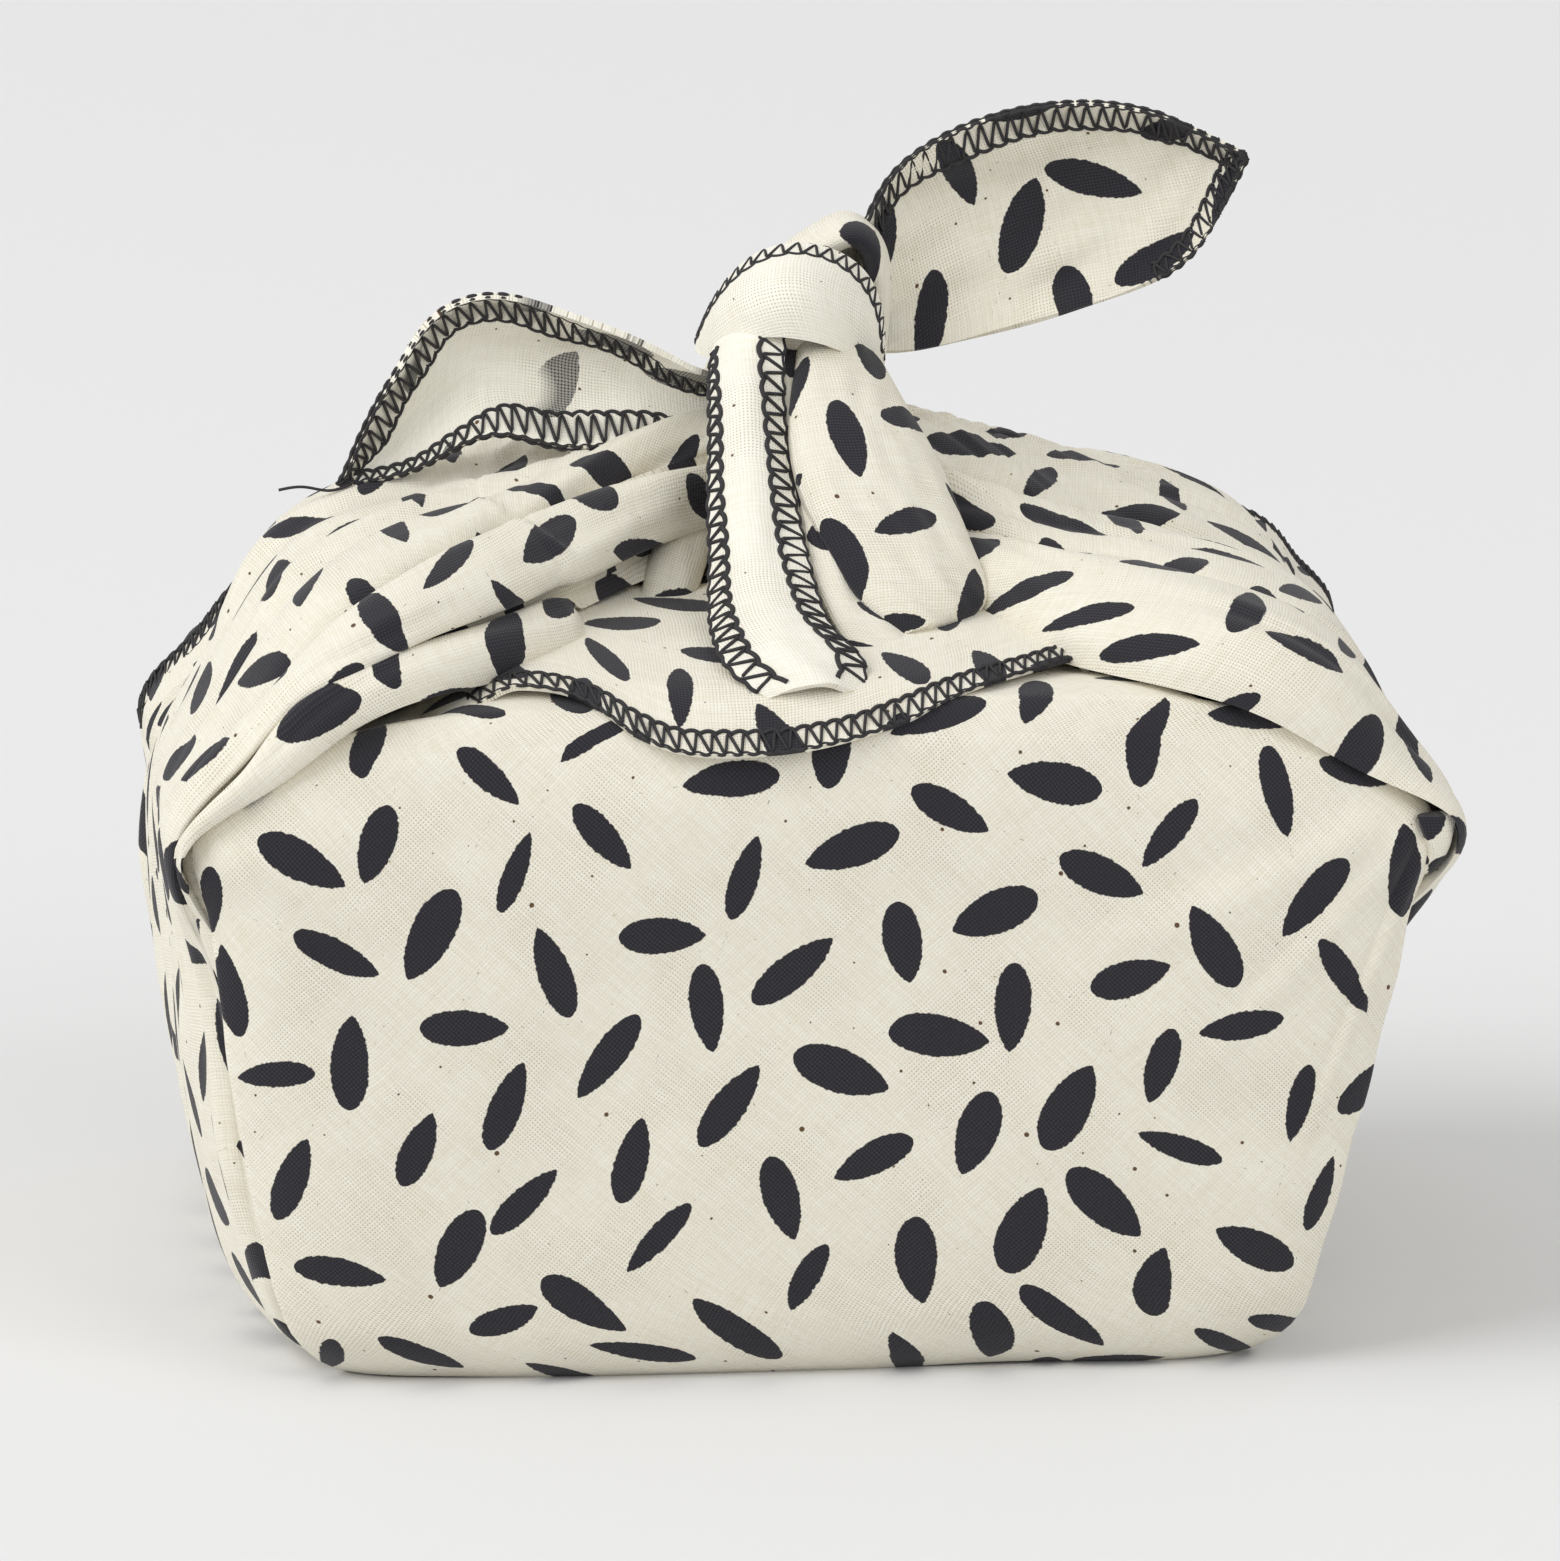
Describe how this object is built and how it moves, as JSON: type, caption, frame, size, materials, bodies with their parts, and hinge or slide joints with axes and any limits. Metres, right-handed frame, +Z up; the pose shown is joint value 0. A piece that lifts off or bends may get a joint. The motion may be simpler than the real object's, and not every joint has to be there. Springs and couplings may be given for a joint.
{
  "type": "furoshiki wrap",
  "caption": "Square printed cotton cloth folded round a tapered bundle, its corners gathered over the top and tied in a knot with free leaf-shaped ends.",
  "frame": {"origin": "middle of the flat underside, on the surface that the wrap rests on", "axes": "+Z up, +X to the right when seen from the front, the front panel towards -Y"},
  "size_m": [0.1684, 0.1382, 0.158],
  "materials": {
    "printed_cotton": "matte plain weave, unbleached, with dark printed marks and a dark thread edging"
  },
  "bodies": {
    "root": {"cloth": "printed_cotton"}
  },
  "joints": []
}
